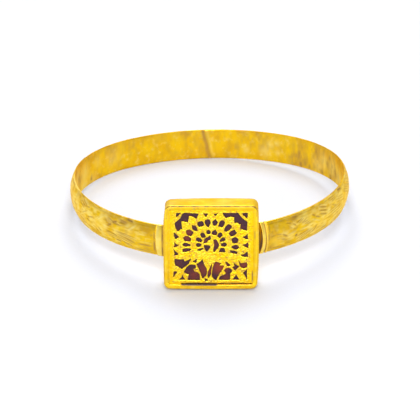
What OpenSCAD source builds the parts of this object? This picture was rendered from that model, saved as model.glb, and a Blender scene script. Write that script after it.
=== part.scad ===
// Bangle with a square plaque of pierced gold sheet over dark glass. Millimetres.
// It lies on its side with the setting towards -Y, and leans on the lower back edge of the
// setting and on the rim of the hoop behind it. +Z is up, the origin is under its middle.

/* [Hoop] */
// Width of the wrist opening from side to side
opening_w = 60.23; // [56:0.01:66]
// Swell of the three soft lobes in the hoop's plan
lobe = 0.815; // [0.3:0.005:1.2]
// Height of the band
band_h = 7.1; // [6:0.1:8]
// Thickness of the band at the crown of its dome
band_t = 1.2; // [1.1:0.05:1.5]
// Height of the band's flat rim beside the dome, measured across the band
rim_t = 0.25; // [0.2:0.05:0.35]
// Thickness of the gold sheet that the hollow band is folded from
gauge = 0.3; // [0.25:0.01:0.32]
// Twist of the hoop against the setting, in degrees
hoop_skew = 1.25; // [0:0.05:1.5]
// Depth of the slanting seam in the inner wall at the back
seam_depth = 0.15; // [0.05:0.01:0.2]
// Width of that seam
seam_w = 0.2; // [0.1:0.05:0.3]
// Lean of that seam from the upright, in degrees
seam_lean = 11; // [0:1:20]
// Sideways place of that seam
seam_x = -0.7; // [-3:0.1:3]

/* [Collars] */
// Height of the collars above the band's surface
collar_proud = 0.1; // [0.05:0.01:0.2]
// Width of the left collar
strap_w = 1.85; // [1:0.05:2]
// Open gap between the setting and the right collar, measured at the hoop's inner wall
right_gap = 0.38; // [0.11:0.01:0.6]
// Width of the right collar's smooth strip
strip_w = 0.8; // [0.6:0.05:1.2]
// Width of the right collar's thin ridge
ridge_w = 0.4; // [0.3:0.05:0.6]
// Width of the groove between strip and ridge
groove_w = 0.25; // [0.15:0.05:0.4]
// Depth of that groove below the band's surface
groove_sink = 0.05; // [0.02:0.01:0.08]
// Length of the tongue that each collar has inside the hoop's open end
tongue_l = 1.6; // [1:0.1:2]

/* [Setting] */
// Width of the setting at its front
box_w = 20.4; // [20.2:0.1:20.8]
// Height of the setting at its front
box_h = 19.3; // [19.1:0.1:19.7]
// Depth of the setting from back plate to lip
box_d = 4.4; // [4:0.1:5]
// Sideways place of the setting's middle
box_x = 0.25; // [0:0.05:0.5]
// Height of the setting's middle against the hoop's
box_z = -0.23; // [-0.4:0.01:0]
// How far the back plate stands inside the hoop's inner wall
plate_proud = 0.06; // [0:0.01:0.1]
// Radius of the setting's upright corners
corner_r = 1.3; // [1.2:0.1:1.5]
// Thickness of the setting's sheet
wall_t = 0.4; // [0.4:0.05:0.5]
// Radius of the soft edge between the walls and the lip
edge_r = 0.35; // [0.2:0.05:0.35]
// Width of the lip that is folded over the plaque
lip_w = 1.1; // [1:0.05:1.2]
// Thickness of the folded lip
lip_t = 0.2; // [0.15:0.05:0.3]

/* [Plaque] */
// Thickness of the pierced gold sheet
foil_t = 0.25; // [0.2:0.01:0.35]
// Gap kept between pieces that lie against each other
fit_gap = 0.03; // [0.02:0.01:0.05]
// Width of the slit between the sheet's lower edge and the lip
slit_w = 0.05; // [0.05:0.05:0.3]
// How far each opening of the sheet is cut beyond its charted edge
cut_ease = 0.06; // [0:0.01:0.08]

/* [Rest] */
// Lean of the hoop when the bangle lies by itself, in degrees
rest_tilt = 6.15; // [5.5:0.01:6.5]

/* [Hidden] */
$fn = 120;

// The plan is six tangent arcs of 60 degrees: tight ones on the lobes, wide ones between.
mean_r = opening_w / 2;
arc_c = 2 * lobe / (2 - sqrt(3));
lobe_r = mean_r + lobe - arc_c;
flat_r = mean_r - lobe + arc_c;
// each wide arc is a hair thinner and slips this many degrees into the tight ones
joint_step = 0.01;
slip = 0.15;
dome_r = (pow(band_h / 2, 2) + pow(band_t - rim_t, 2)) / (2 * (band_t - rim_t));

// The setting closes the front lobe, so the hoop ends at its sides.
box_left = box_x - box_w / 2;
box_right = box_x + box_w / 2;
box_back = -arc_c - sqrt(pow(lobe_r, 2) - pow(box_right, 2)) + plate_proud;
box_foot = box_z - box_h / 2;
crown_r = lobe_r + band_t + collar_proud;
// angles are counted about the front lobe's centre, from the -Y direction
left_edge = asin((fit_gap - box_left) / crown_r) + deg_wide(strap_w);
right_face = asin((box_right + right_gap) / (lobe_r - collar_proud));
right_edge = right_face + deg_wide(strip_w + groove_w + ridge_w);
// degrees by which a tongue runs on into its collar, and a collar into the cut that trims it
lap = 0.2;
trim = 3;

// The inside of the setting, from its back plate to the underside of the lip
bay_w = box_w - 2 * (wall_t + fit_gap);
bay_h = box_h - 2 * (wall_t + fit_gap);
bay_r = corner_r - wall_t;
foil_z = box_d - lip_t - fit_gap - foil_t;
glass_z = wall_t + fit_gap;
glass_t = foil_z - fit_gap - glass_z;
// place of the pierced field's middle, measured from the setting's middle
field_x = 0.11;
field_y = 0.13;
// the slit's left end and length, measured in the same way
slit_from = -6.4;
slit_l = 15.3;

// The bangle touches the floor at the setting's foot and under the hoop's back rim.
floor_drop = box_back * sin(rest_tilt) - box_foot * cos(rest_tilt);
// middle of the leaning bangle from front to back
middle_y = -1.72;

function deg_wide(w) = w / crown_r * 180 / PI;

// points from a towards b along an edge that swells by bow to the left, without b
function swell(a, b, bow) = abs(bow) < 0.03 ? [a] :
    let (d = b - a, side = [-d[1], d[0]] / norm(d), steps = norm(d) > 1 ? 5 : 3)
    [for (i = [0 : steps - 1]) let (t = i / steps) a + d * t + side * 4 * bow * t * (1 - t)];

// closed outline from corners listed clockwise as [u, v, bow], bow > 0 swelling outwards
function outline(rows) = [for (i = [0 : len(rows) - 1])
    let (a = rows[i], b = rows[(i + 1) % len(rows)])
    each swell([a[0], a[1]], [b[0], b[1]], a[2])];

// unit vector to the left of the way from a to b
function left_of(a, b) = let (d = b - a) [-d[1], d[0]] / norm(d);

// closed clockwise outline, moved outwards by the same distance all round
function grown(points, by) = let (n = len(points)) [for (i = [0 : n - 1])
    let (p = points[i], a = left_of(points[(i + n - 1) % n], p), b = left_of(p, points[(i + 1) % n]))
    p + by * (a + b) / (1 + a * b)];

// one opening of the fan, pointing along +X from its narrow foot to its tip
function feather(long, wide, foot, tip) = [
    [-long / 2, -foot / 2], [0, -wide / 2], [long / 2 - tip, -wide * 0.4], [long / 2, 0],
    [long / 2 - tip, wide * 0.4], [0, wide / 2], [-long / 2, foot / 2]];

// The fan: two rings of openings round the bird's breast, from right to left.
fan_x = -0.1;
// angle, radius, length, width, width of the foot, length of the tip
outer_ring = [
    [-14.6, 5.08, 1.45, 0.6, 0.4, 0.05], [-1.4, 5.28, 1.5, 1.05, 0.35, 0.4],
    [15.6, 5.45, 1.35, 1.3, 1.0, 0.4], [33.5, 5.62, 1.35, 1.1, 0.9, 0],
    [49.7, 5.63, 1.7, 1.05, 0.5, 0.1], [66.2, 5.77, 1.45, 1.05, 0.8, 0.15],
    [80.8, 5.65, 1.4, 1.1, 0.4, 0.5], [97, 5.45, 1.65, 1.1, 0.2, 0.1],
    [112.5, 5.68, 1.1, 1.25, 1.0, 0.1], [129, 5.56, 1.6, 0.9, 0.35, 0.6],
    [144.9, 5.67, 1.5, 1.28, 1.0, 0.45], [160.6, 5.43, 1.65, 1.18, 0.6, 0.4],
    [175.6, 5.27, 1.65, 0.8, 0.3, 0.4], [188.7, 5.22, 1.7, 0.75, 0.25, 0.05]];
inner_ring = [
    [8.9, 2.88, 1.15, 0.85, 0.5, 0.3], [32.2, 3.0, 1.15, 0.75, 0.4, 0.15],
    [53.7, 3.35, 1.15, 0.85, 0.7, 0.3], [76.1, 3.4, 1.1, 1.0, 0.9, 0.4],
    [98.4, 3.46, 0.95, 0.8, 0.6, 0.35], [122.7, 3.16, 1.15, 0.85, 0.6, 0.2],
    [148.2, 2.97, 1.25, 0.85, 0.5, 0.15], [172.1, 2.68, 1.1, 0.8, 0.5, 0.3],
    [196.3, 2.34, 1.2, 0.4, 0.2, 0.2]];

// The tables below list corners as u to the right, v up from the field's middle, and bow.
crest_left = [
    [-1.55, 0.85, 0.05], [-1.45, 1.5, 0.05], [-1.05, 1.98, 0], [-0.65, 2.15, 0], [-0.3, 2.45, 0],
    [-0.15, 2.0, 0.05], [-0.4, 1.57, 0], [-0.77, 1.4, 0], [-0.95, 1.0, 0.05]];
breast = [
    [-1.5, 0.3, 0], [-0.3, 0.15, 0.1], [-0.5, -0.5, 0], [-0.9, -1.05, 0.05], [-1.4, -0.4, 0.05]];
neck = [
    [0.5, 1.45, 0.1], [1.05, 1.6, 0], [1.6, 0.5, 0.1], [1.15, -0.5, 0], [0.65, -1.25, 0.05],
    [0.5, -0.85, 0], [0.7, 0.5, -0.05]];
flank = [[2.05, -0.42, 0], [2.7, -0.42, 0], [3.0, -1.25, -0.05], [1.65, -1.25, 0]];
corner_left = [
    [-6.2, 7.4, 0.15], [-5.2, 7.7, 0], [-2.8, 7.55, 0], [-3.2, 6.5, -0.15], [-4.8, 7.15, 0],
    [-5.05, 5.65, -0.1], [-6.5, 5.85, 0], [-6.3, 4.05, 0], [-6.65, 4.05, 0], [-7.15, 3.6, 0.15],
    [-7.75, 5.4, 0], [-6.5, 6.6, 0]];
tip_left = [[-7.4, 7.7, 0], [-6.65, 7.7, 0], [-7.45, 6.8, 0.05]];
corner_right = [
    [2.5, 7.7, 0], [5.7, 7.7, -0.15], [7.65, 5.65, 0], [7.55, 3.75, 0], [6.25, 4.15, 0],
    [6.35, 5.2, 0.1], [5.6, 5.6, 0], [5.0, 5.55, 0], [4.95, 6.8, 0], [3.95, 6.95, 0],
    [3.15, 6.65, 0.05]];
tip_right = [[6.5, 7.55, 0.1], [7.75, 7.7, 0], [7.6, 6.55, -0.1]];
thorn_top = [[-1.65, 7.6, 0], [-0.75, 7.6, 0], [-1.15, 6.9, 0]];
thorn_top_right = [[0.55, 7.5, 0], [1.3, 7.6, 0], [0.85, 7.15, 0]];
thorns_left = [
    [[-7.95, 3.15, 0.05], [-7.05, 2.3, 0.1], [-7.7, 1.85, 0.05]],
    [[-7.85, 0.85, -0.1], [-7.05, 0.35, 0.05], [-7.95, -0.15, -0.05]],
    [[-8.0, -0.8, -0.05], [-7.1, -1.7, 0.15], [-7.9, -1.95, -0.1]]];
thorns_right = [
    [[6.85, 2.2, -0.15], [7.65, 2.85, 0], [7.8, 1.8, 0.15]],
    [[6.8, 0.3, -0.05], [7.8, 0.9, 0.05], [7.85, -0.25, 0]],
    [[6.35, -2.0, -0.15], [7.7, -1.25, 0], [7.8, -2.3, 0.15]]];
leaf_left = [
    [-7.8, -2.9, -0.1], [-6.0, -3.0, 0], [-5.8, -3.5, -0.1], [-4.5, -2.95, 0], [-4.85, -3.9, 0],
    [-6.35, -5.15, 0], [-6.65, -4.85, 0], [-7.65, -4.35, 0.1]];
bud_left = [[-3.9, -3.4, -0.05], [-3.2, -3.0, 0.05], [-3.35, -3.75, 0]];
leg_left = [
    [-3.1, -4.1, 0], [-2.25, -3.55, 0], [-1.9, -3.1, -0.1], [-1.1, -5.1, 0.1],
    [-1.1, -6.5, 0.1], [-1.9, -7.35, 0], [-2.2, -6.2, 0]];
sliver = [
    [0.05, -4.3, 0], [-0.08, -5.6, 0], [-0.15, -6.45, 0.05], [-0.7, -7.3, 0.05],
    [-0.66, -5.9, 0]];
leg_right = [
    [0.9, -3.6, 0.05], [2.0, -3.95, -0.1], [1.75, -4.5, 0], [2.65, -4.5, 0.1], [1.8, -6.05, 0],
    [1.0, -7.75, 0.05], [0.2, -7.0, 0.1], [0.5, -4.5, 0]];
scroll_left = [
    [-5.8, -5.9, 0.15], [-4.7, -4.35, 0.15], [-3.45, -4.45, 0.15], [-3.55, -5.1, -0.1],
    [-3.95, -5.15, -0.25], [-3.0, -6.1, 0.2], [-2.55, -7.0, 0], [-2.5, -7.75, 0],
    [-5.0, -7.7, 0], [-4.75, -6.4, 0.1]];
scroll_right = [
    [2.8, -5.6, 0.2], [3.75, -5.0, 0.15], [4.45, -5.75, 0], [3.95, -6.2, 0], [4.0, -7.4, 0.1],
    [3.45, -7.75, 0], [1.65, -7.65, 0.05], [2.05, -6.85, 0], [2.7, -6.7, -0.1], [3.2, -6.15, 0]];
seed_right = [[3.15, -3.6, 0.05], [4.05, -4.3, 0.1], [3.4, -4.5, 0]];
star_right = [
    [4.6, -4.8, 0], [5.05, -4.6, 0], [4.9, -3.95, 0], [5.9, -4.65, 0], [5.1, -5.5, 0]];
leaf_right = [
    [6.0, -3.5, -0.1], [6.5, -3.9, -0.05], [7.55, -3.7, 0.1], [7.6, -4.75, 0], [7.0, -5.0, 0.05],
    [6.25, -4.6, 0]];
thorn_foot_left = [[-8.05, -5.85, 0.05], [-7.4, -5.93, -0.05], [-8.1, -7.0, 0]];
thorns_foot = [
    [[-6.75, -7.65, -0.05], [-6.2, -6.85, 0], [-5.7, -7.65, 0]],
    [[4.65, -7.65, 0], [5.35, -6.65, 0], [5.95, -7.65, 0]]];
thorn_foot_middle = [[-1.4, -7.5, 0], [-0.85, -7.7, 0], [-0.8, -7.9, 0], [-1.2, -8.0, 0]];
thorn_foot_right = [[6.9, -6.05, -0.05], [7.58, -5.42, 0], [7.6, -7.4, 0]];
voids = concat(
    [crest_left, breast, neck, flank, corner_left, tip_left, corner_right, tip_right, thorn_top,
     thorn_top_right, leaf_left, bud_left, leg_left, sliver, leg_right, scroll_left,
     scroll_right, seed_right, star_right, leaf_right, thorn_foot_left, thorn_foot_middle,
     thorn_foot_right],
    thorns_left, thorns_right, thorns_foot);

// lays the upright bangle down at rest, its middle over the origin
module at_rest() {
    translate([0, -middle_y, floor_drop]) rotate([-rest_tilt, 0, 0]) children();
}

module in_hoop() {
    at_rest() rotate([0, -hoop_skew, 0]) children();
}

// D-shaped section: flat wall at x = 0, dome towards +X
module band_section(grow = 0) {
    intersection() {
        translate([band_t - dome_r, 0]) circle(r = dome_r + grow);
        translate([-grow, -band_h / 2 - grow]) square([band_t + 2 * grow, band_h + 2 * grow]);
    }
}

// the space inside the band, shrink away from its outer face
module hollow_section(shrink) {
    intersection() {
        translate([band_t - dome_r, 0]) circle(r = dome_r - shrink);
        translate([shrink, -band_h / 2]) square([band_t, band_h]);
    }
}

// the hollow band, or a length of it thinned on both faces that slips inside its neighbours
module tube_section(thinned = 0) {
    difference() {
        band_section(-thinned);
        hollow_section(gauge - thinned);
    }
}

// sweeps a section about an arc's centre: direction of the arc's middle, centre, radius
module arc(middle, centre, radius, from, to) {
    rotate(middle) translate([centre, 0]) rotate(from)
        rotate_extrude(angle = to - from) translate([radius, 0]) children();
}

// sweeps a section along the front lobe, from and to counted from the setting's middle
module front_arc(from, to) {
    arc(-90, arc_c, lobe_r, from, to) children();
}

module hoop() {
    color("goldenrod") in_hoop() difference() {
        union() {
            for (middle = [30, 150]) arc(middle, arc_c, lobe_r, -30, 30) tube_section();
            for (middle = [90, 210, 330])
                arc(middle, -arc_c, flat_r, -30 - slip, 30 + slip) tube_section(joint_step);
            front_arc(-30, -left_edge - deg_wide(fit_gap)) tube_section();
            front_arc(right_edge + deg_wide(fit_gap), 30) tube_section();
        }
        translate([seam_x, flat_r - arc_c - 1 + seam_depth, 0]) rotate([0, -seam_lean, 0])
            translate([-seam_w / 2, 0, -band_h]) cube([seam_w, 1, 2 * band_h]);
    }
}

module collar_left() {
    color("gold") difference() {
        in_hoop() {
            front_arc(-left_edge, -left_edge + deg_wide(strap_w) + trim)
                band_section(collar_proud);
            front_arc(-left_edge - deg_wide(tongue_l), -left_edge + lap)
                hollow_section(gauge + fit_gap);
        }
        at_rest() translate([box_left - fit_gap, box_back - 20, -20]) cube([20, 40, 40]);
    }
}

module collar_right() {
    color("gold") in_hoop() {
        front_arc(right_face, right_face + deg_wide(strip_w)) band_section(collar_proud);
        front_arc(right_face + deg_wide(strip_w / 2), right_edge - deg_wide(ridge_w / 2))
            band_section(-groove_sink);
        front_arc(right_edge - deg_wide(ridge_w), right_edge) band_section(collar_proud);
        front_arc(right_edge - lap, right_edge + deg_wide(tongue_l))
            hollow_section(gauge + fit_gap);
    }
}

// Everything in the setting is built with x to the right, y up and z towards the front.
module in_box() {
    at_rest() translate([box_x, box_back, box_z]) rotate([90, 0, 0]) children();
}

module rounded(w, h, r) {
    square([w - 2 * r, h], center = true);
    square([w, h - 2 * r], center = true);
    for (x = [-1, 1], y = [-1, 1]) translate([x * (w / 2 - r), y * (h / 2 - r)]) circle(r = r);
}

// wall and folded lip, with the corner's centre line at x = 0
module rim_section() {
    intersection() {
        translate([corner_r - wall_t, 0]) square([wall_t, box_d]);
        union() {
            square([corner_r, box_d - edge_r]);
            square([corner_r - edge_r, box_d]);
            translate([corner_r - edge_r, box_d - edge_r]) circle(r = edge_r);
        }
    }
    translate([corner_r - lip_w + lip_t / 2, box_d - lip_t / 2]) circle(d = lip_t);
    translate([corner_r - lip_w + lip_t / 2, box_d - lip_t])
        square([lip_w - lip_t / 2 - edge_r, lip_t]);
}

module setting() {
    color("gold") in_box() {
        linear_extrude(wall_t)
            rounded(box_w - wall_t, box_h - wall_t, corner_r - wall_t / 2);
        for (side = [0 : 3]) {
            upright = side % 2 == 0;
            reach = (upright ? box_w : box_h) / 2 - corner_r;
            run = (upright ? box_h : box_w) - 2 * corner_r;
            rotate(90 * side) translate([reach, run / 2, 0]) {
                rotate([90, 0, 0]) linear_extrude(run) rim_section();
                rotate_extrude(angle = 90) rim_section();
            }
        }
    }
}

module glass_plate() {
    color("indigo") in_box() translate([0, 0, glass_z])
        linear_extrude(glass_t) rounded(bay_w, bay_h, bay_r);
}

module fan(ring) {
    for (row = ring) rotate(row[0]) translate([row[1], 0])
        polygon(feather(row[2] + 2 * cut_ease, row[3] + 2 * cut_ease, row[4] + cut_ease, row[5]));
}

module thewa_sheet() {
    color("yellow") in_box() translate([0, 0, foil_z]) linear_extrude(foil_t) difference() {
        rounded(bay_w, bay_h, bay_r);
        translate([field_x, field_y]) {
            translate([fan_x, 0]) {
                fan(outer_ring);
                fan(inner_ring);
            }
            for (rows = voids) polygon(grown(outline(rows), cut_ease));
        }
        translate([slit_from, -box_h / 2 + lip_w / 2]) square([slit_l, lip_w / 2 + slit_w]);
    }
}

hoop();
collar_left();
collar_right();
setting();
glass_plate();
thewa_sheet();
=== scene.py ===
"""Thewa bangle: the looks of the hoop, its collars, the setting, the glass and the gold sheet.

Shapes are worked out in millimetres in the upright bangle's own frame, where the hoop's axis
is Z and the setting faces -Y. at_rest() lays them down as the bangle rests and turns them
into metres.
"""
import math

import bpy
import numpy as np
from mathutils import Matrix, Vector
from mathutils.geometry import delaunay_2d_cdt
from numpy.linalg import norm


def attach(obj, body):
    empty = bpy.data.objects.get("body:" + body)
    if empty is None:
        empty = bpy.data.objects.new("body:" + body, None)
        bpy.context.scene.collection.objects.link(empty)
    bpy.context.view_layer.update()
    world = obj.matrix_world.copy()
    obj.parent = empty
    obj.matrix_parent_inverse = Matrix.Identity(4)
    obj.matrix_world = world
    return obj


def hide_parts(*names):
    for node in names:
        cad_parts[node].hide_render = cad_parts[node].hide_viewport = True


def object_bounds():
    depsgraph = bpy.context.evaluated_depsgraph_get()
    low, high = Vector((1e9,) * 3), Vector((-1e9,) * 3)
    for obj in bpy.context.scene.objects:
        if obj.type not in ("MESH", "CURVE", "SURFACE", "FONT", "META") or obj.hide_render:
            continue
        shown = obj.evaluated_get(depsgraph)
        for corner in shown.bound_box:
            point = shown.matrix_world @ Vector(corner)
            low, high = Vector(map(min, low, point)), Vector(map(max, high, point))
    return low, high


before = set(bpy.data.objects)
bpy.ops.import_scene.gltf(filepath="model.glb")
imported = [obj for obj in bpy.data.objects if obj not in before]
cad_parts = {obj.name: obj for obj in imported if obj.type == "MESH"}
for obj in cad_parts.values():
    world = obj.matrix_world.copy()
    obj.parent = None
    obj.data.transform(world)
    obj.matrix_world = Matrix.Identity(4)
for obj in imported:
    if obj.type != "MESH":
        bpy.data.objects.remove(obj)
cad_low, cad_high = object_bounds()

# Hoop, in millimetres: the same driving sizes as the solids
OPENING_W = 60.23
LOBE = 0.815
BAND_H = 7.1
BAND_T = 1.2
RIM_T = 0.25
HOOP_SKEW = 1.25
SEAM_X = -0.7
SEAM_LEAN = 11

# Collars
COLLAR_PROUD = 0.1
STRAP_W = 1.85
STRIP_W = 0.8
RIDGE_W = 0.4
GROOVE_W = 0.25
RIGHT_GAP = 0.38

# Setting and plaque
BOX_W = 20.4
BOX_H = 19.3
BOX_D = 4.4
BOX_X = 0.25
BOX_Z = -0.23
CORNER_R = 1.3
EDGE_R = 0.35
LIP_W = 1.1
LIP_T = 0.2
WALL_T = 0.4
PLATE_PROUD = 0.06
FOIL_T = 0.25
FIT_GAP = 0.03
FIELD_X = 0.11
FIELD_Y = 0.13

# Rest and camera; the camera is given in the upright bangle's frame
REST_TILT = 6.15
MIDDLE_Y = -1.72
CAMERA_FAR = 700
CAMERA_RISE = 21.9
CAMERA_AIM = (0.083, 0, -4.771)
FOCAL_PX = 3117.8
PHOTO_PX = 420
SENSOR = 36

MM = 0.001
MEAN_R = OPENING_W / 2
ARC_C = 2 * LOBE / (2 - math.sqrt(3))
LOBE_R = MEAN_R + LOBE - ARC_C
FLAT_R = MEAN_R - LOBE + ARC_C
DOME_R = ((BAND_H / 2) ** 2 + (BAND_T - RIM_T) ** 2) / (2 * (BAND_T - RIM_T))
BOX_LEFT = BOX_X - BOX_W / 2
BOX_RIGHT = BOX_X + BOX_W / 2
BOX_BACK = -ARC_C - math.sqrt(LOBE_R ** 2 - BOX_RIGHT ** 2) + PLATE_PROUD
CROWN_R = LOBE_R + BAND_T + COLLAR_PROUD
SHEET_TOP = BOX_D - LIP_T - FIT_GAP


def cos_sin(degrees):
    """Cosine and sine of an angle in degrees."""
    return math.cos(math.radians(degrees)), math.sin(math.radians(degrees))


def deg_wide(width):
    """Degrees about the front lobe's centre that a width takes up at the crown."""
    return math.degrees(width / CROWN_R)


LEFT_EDGE = math.degrees(math.asin((FIT_GAP - BOX_LEFT) / CROWN_R)) + deg_wide(STRAP_W)
RIGHT_FACE = math.degrees(math.asin((BOX_RIGHT + RIGHT_GAP) / (LOBE_R - COLLAR_PROUD)))
RIGHT_EDGE = RIGHT_FACE + deg_wide(STRIP_W + GROOVE_W + RIDGE_W)
REST_COS, REST_SIN = cos_sin(REST_TILT)
SKEW_COS, SKEW_SIN = cos_sin(HOOP_SKEW)
FLOOR_DROP = BOX_BACK * REST_SIN - (BOX_Z - BOX_H / 2) * REST_COS


def at_rest(points):
    """Millimetres in the upright bangle's frame to metres in the row frame."""
    x, y, z = np.moveaxis(np.asarray(points, float), -1, 0)
    return MM * np.stack([x, y * REST_COS + z * REST_SIN - MIDDLE_Y,
                          z * REST_COS - y * REST_SIN + FLOOR_DROP], -1)


def in_hoop(points):
    """As at_rest, for points of the hoop, which is twisted a little against the setting."""
    x, y, z = np.moveaxis(np.asarray(points, float), -1, 0)
    return at_rest(np.stack([x * SKEW_COS - z * SKEW_SIN, y, x * SKEW_SIN + z * SKEW_COS], -1))


def in_box(points):
    """As at_rest, for points of the setting: x right, y up, z out of its face."""
    x, y, z = np.moveaxis(np.asarray(points, float), -1, 0)
    return at_rest(np.stack([x + BOX_X, BOX_BACK - z, y + BOX_Z], -1))


def make_camera():
    """The photograph's camera, from its place in the upright bangle's frame."""
    rise = math.radians(CAMERA_RISE)
    aim = np.array(CAMERA_AIM)
    eye = aim + CAMERA_FAR * np.array([0, -math.cos(rise), math.sin(rise)])
    eye, aim = at_rest(eye), at_rest(aim)
    data = bpy.data.cameras.new("camera")
    data.sensor_width = SENSOR
    data.lens = FOCAL_PX / PHOTO_PX * SENSOR
    data.clip_start = 0.05
    data.clip_end = 20
    camera = bpy.data.objects.new("camera", data)
    bpy.context.scene.collection.objects.link(camera)
    camera.location = eye
    camera.rotation_mode = "QUATERNION"
    camera.rotation_quaternion = Vector(aim - eye).to_track_quat("-Z", "Y")
    bpy.context.scene.camera = camera
    return eye, aim


EYE, AIM = make_camera()


def to_photo(points):
    """Where points of the row frame fall in the photograph, in its pixels."""
    ahead = (AIM - EYE) / norm(AIM - EYE)
    right = np.array([1.0, 0, 0])
    up = np.cross(right, ahead)
    d = points - EYE
    depth = d @ ahead
    half = PHOTO_PX / 2
    return np.stack([half + FOCAL_PX * (d @ right) / depth,
                     half - FOCAL_PX * (d @ up) / depth], -1)


def lattice(cell, seed):
    """A steady random number from 0 to 1 for each whole-numbered cell."""
    k = (cell * np.array([73856093, 19349663, 83492791])).sum(-1) + seed * 2654435
    k = (k ^ (k >> 13)) * 1274126177 & 0x7FFFFFFF
    k = (k ^ (k >> 16)) * 668265263 & 0x7FFFFFFF
    return ((k ^ (k >> 15)) & 0xFFFF) / 65535.0


def grain(points, size, seed=0):
    """Smooth noise from -1 to 1 with lumps of about the given size, in the points' unit."""
    p = np.asarray(points, float) / size + 1000
    cell = np.floor(p).astype(np.int64)
    f = p - cell
    f = f * f * (3 - 2 * f)
    total = np.zeros(p.shape[:-1])
    for corner in np.ndindex(2, 2, 2):
        share = np.prod(np.where(corner, f, 1 - f), -1)
        total += share * lattice(cell + np.array(corner), seed)
    return 2 * total - 1


def bell(distance, width):
    """Falls smoothly from 1 at no distance to nothing beyond about the width."""
    return np.exp(-(distance / (0.5 * width)) ** 2)


class Relief:
    """Heights, dark tones and pale tones drawn on a surface whose points have (u, v) places in mm;
    the dark tones are tarnish and painted shade, the pale ones mostly painted highlights.

    seen gives each point's pixel in the photograph, and shown whether the camera sees it.
    """

    def __init__(self, uv, seen, shown):
        self.uv = uv
        self.seen = np.where(shown[..., None], seen, -1e4)
        self.height = np.zeros(uv.shape[:-1])
        self.tarnish_and_shade = np.zeros(uv.shape[:-1])
        self.pale_and_highlight = np.zeros(uv.shape[:-1])

    def at_pixel(self, x, y):
        """The (u, v) place that a pixel of the photograph shows."""
        miss = norm(self.seen - (x, y), axis=-1)
        return self.uv[np.unravel_index(np.argmin(miss), miss.shape)]

    def near(self, low, high):
        """The points inside a box, as an index."""
        inside = np.all((self.uv > low) & (self.uv < high), -1)
        return np.nonzero(inside)

    def mark(self, at, share, lift, tone):
        """Adds a lift in mm and a dark tone, tarnish in some marks and painted shade in others;
        where the tone is under 0, a painted highlight instead.
        """
        self.height[at] += lift * share
        if tone > 0:
            self.tarnish_and_shade[at] = np.maximum(self.tarnish_and_shade[at], tone * share)
        else:
            self.pale_and_highlight[at] = np.maximum(self.pale_and_highlight[at], -tone * share)

    def stroke(self, path, width, lift, tone, taper=0.25):
        """A stroke along (u, v) points. lift under 0 cuts in, tone under 0 paints a highlight."""
        path = np.asarray(path, float)
        at = self.near(path.min(0) - 1.5 * width, path.max(0) + 1.5 * width)
        if len(at[0]) == 0:
            return
        p = self.uv[at]
        legs = norm(np.diff(path, axis=0), axis=1) + 1e-6
        best = np.zeros(len(p))
        done = 0
        for a, b, leg in zip(path[:-1], path[1:], legs):
            t = np.clip((p - a) @ (b - a) / leg ** 2, 0, 1)
            off = norm(p - a - t[:, None] * (b - a), axis=1)
            along = (done + t * leg) / legs.sum()
            ends = np.clip(np.minimum(along, 1 - along) / taper, 0, 1) if taper else 1
            best = np.maximum(best, bell(off, width) * (0.35 + 0.65 * ends))
            done += leg
        self.mark(at, best, lift, tone)

    def dot(self, centre, width, lift, tone):
        """A round dent or bump with a dark spot, or with a painted highlight where the tone is
        under 0.
        """
        centre = np.asarray(centre, float)
        at = self.near(centre - 1.5 * width, centre + 1.5 * width)
        self.mark(at, bell(norm(self.uv[at] - centre, axis=1), width), lift, tone)

    def chart(self, strokes=(), dots=(), hatches=()):
        """Marks whose places are given as pixels of the photograph."""
        for x0, y0, x1, y1, width, lift, tone in strokes:
            self.stroke([self.at_pixel(x0, y0), self.at_pixel(x1, y1)], width, lift, tone)
        for x, y, width, lift, tone in dots:
            self.dot(self.at_pixel(x, y), width, lift, tone)
        for *ends, count, width, lift, tone in hatches:
            self.hatch(np.array(ends[:4]), np.array(ends[4:]), count, width, lift, tone)

    def hatch(self, first, last, count, width, lift, tone):
        """Uneven strokes from the first to the last, with painted highlights on the raised ridges
        between them.
        """
        for k in range(2 * count - 1):
            cell = np.array([[k, j, int(first[0])] for j in range(4)])
            ends = first + (last - first) * k / (2 * count - 2) + 1.2 * lattice(cell, 51) - 0.6
            path = [self.at_pixel(*ends[:2]), self.at_pixel(*ends[2:])]
            if k % 2 == 0:
                self.stroke(path, width, lift, tone)
            else:
                # A raised ridge with a painted highlight
                self.stroke(path, 0.8 * width, -0.6 * lift, -0.8)


def make_mesh(name, points, faces, tarnish_and_shade=None, pale_and_highlight=None, smooth=True):
    """A mesh object from points in metres and faces as lists of indices."""
    mesh = bpy.data.meshes.new(name)
    mesh.from_pydata(np.asarray(points, float).reshape(-1, 3).tolist(), [], faces)
    mesh.validate()
    mesh.polygons.foreach_set("use_smooth", [smooth] * len(mesh.polygons))
    for layer_name, values in (("tarnish_and_shade", tarnish_and_shade), ("pale_and_highlight", pale_and_highlight)):
        if values is not None:
            layer = mesh.attributes.new(layer_name, "FLOAT", "POINT")
            layer.data.foreach_set("value", np.clip(values, 0, 1).astype(np.float32).ravel())
    obj = bpy.data.objects.new(name, mesh)
    bpy.context.scene.collection.objects.link(obj)
    return obj


def tube_faces(rows, around):
    """Faces of a closed tube whose points are rows rings of around points each."""
    i, j = np.meshgrid(np.arange(rows - 1), np.arange(around), indexing="ij")
    k = (j + 1) % around
    quads = np.stack([i * around + j, i * around + k, (i + 1) * around + k,
                      (i + 1) * around + j], -1).reshape(-1, 4).tolist()
    quads.append(list(range(around))[::-1])
    quads.append(list(range((rows - 1) * around, rows * around)))
    return quads


def plan(angle):
    """Centre and radius of the hoop's inner wall where its outward normal has this angle."""
    middle = 30 + 60 * np.round((angle - 30) / 60)
    is_lobe = np.round((middle - 30) / 60) % 2 == 0
    side = np.where(is_lobe, ARC_C, -ARC_C)
    m = np.radians(middle)
    return (np.stack([side * np.cos(m), side * np.sin(m)], -1),
            np.where(is_lobe, LOBE_R, FLAT_R))


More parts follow.
